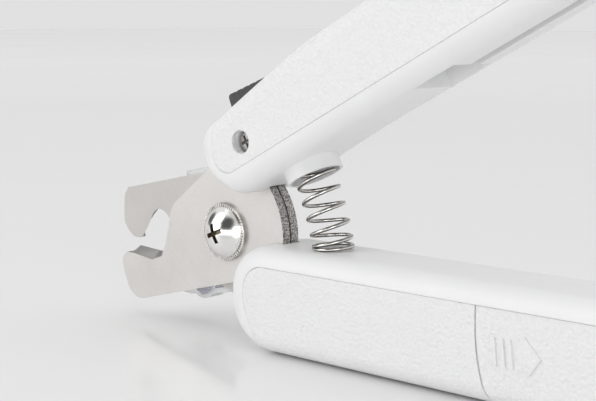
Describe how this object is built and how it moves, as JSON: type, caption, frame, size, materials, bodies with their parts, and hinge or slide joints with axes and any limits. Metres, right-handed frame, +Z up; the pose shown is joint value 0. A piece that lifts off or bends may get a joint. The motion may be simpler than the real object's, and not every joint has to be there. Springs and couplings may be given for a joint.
{
  "type": "pet nail trimmer",
  "caption": "Plier-type pet nail trimmer with crossed notched steel blades, sprung two-part handles, clear lamp guard, lock slider, battery cover and fold-out file.",
  "frame": {"origin": "centre of the bottom of the whole, on the lower handle's flat bottom", "axes": "+Z up, +X along the lower handle from the jaws to its end, +Y along the pivot away from the domed screw head"},
  "size_m": [0.1546, 0.02, 0.097],
  "materials": {
    "blade_steel": "satin ground",
    "chrome": "polished",
    "spring_steel": "drawn wire",
    "white_frame": "smooth gloss",
    "white_grain": "leather grain",
    "dark_grey": "satin",
    "clear": "clear plastic",
    "violet_lens": "tinted clear plastic",
    "screw_steel": "plated",
    "board_green": "laminate",
    "cell_wrap": "printed sleeve, no text",
    "black_plastic": "moulded",
    "wire_white": "insulation"
  },
  "bodies": {
    "lower_handle": {"back_blade": "blade_steel", "pivot_screw": "chrome", "serrated_washer": "chrome", "pivot_nut": "chrome", "return_spring": "spring_steel", "lower_front_shell": "white_frame", "lower_rear_shell": "white_frame", "lower_grip_skin": "white_grain", "lower_screws": "screw_steel", "battery": "cell_wrap", "contact_spring": "spring_steel", "contact_plate": "spring_steel", "light_board": "board_green", "switch_body": "black_plastic", "clear_guard": "clear", "guard_screw": "screw_steel", "lamp_lens": "violet_lens", "led": "clear", "led_wires": "wire_white"},
    "upper_handle": {"front_blade": "blade_steel", "upper_front_shell": "white_frame", "upper_rear_shell": "white_frame", "upper_grip_skin": "white_grain", "head_screw": "screw_steel", "upper_screws": "screw_steel", "file_pin": "screw_steel"},
    "cover": {"battery_cover": "white_grain"},
    "button": {"light_button": "dark_grey"},
    "lock": {"lock_slider": "dark_grey", "lock_bolt": "screw_steel"},
    "file": {"nail_file": "blade_steel"}
  },
  "joints": [
    {"name": "handle_hinge", "type": "hinge", "parent": "lower_handle", "child": "upper_handle", "pos_m": [-0.0407, 0, 0.02285], "axis": [0, 1, 0], "range_deg": [0, 28], "stiffness_Nm_per_rad": 1.57, "springref_deg": -6.3, "deforming": ["return_spring"]},
    {"name": "battery_cover_slide", "type": "slide", "parent": "lower_handle", "child": "cover", "axis": [1, 0, 0], "range_m": [0, 0.048]},
    {"name": "light_button_press", "type": "slide", "parent": "lower_handle", "child": "button", "axis": [0, -1, 0], "range_m": [0, 0.0006], "stiffness_N_per_m": 2000, "springref_m": -0.0003},
    {"name": "lock_slide", "type": "slide", "parent": "upper_handle", "child": "lock", "axis": [-0.887, 0, -0.4617], "range_m": [0, 0.0035]},
    {"name": "file_hinge", "type": "hinge", "parent": "upper_handle", "child": "file", "pos_m": [0.05223, 0.0006, 0.08363], "axis": [0, -1, 0], "range_deg": [0, 175]}
  ]
}
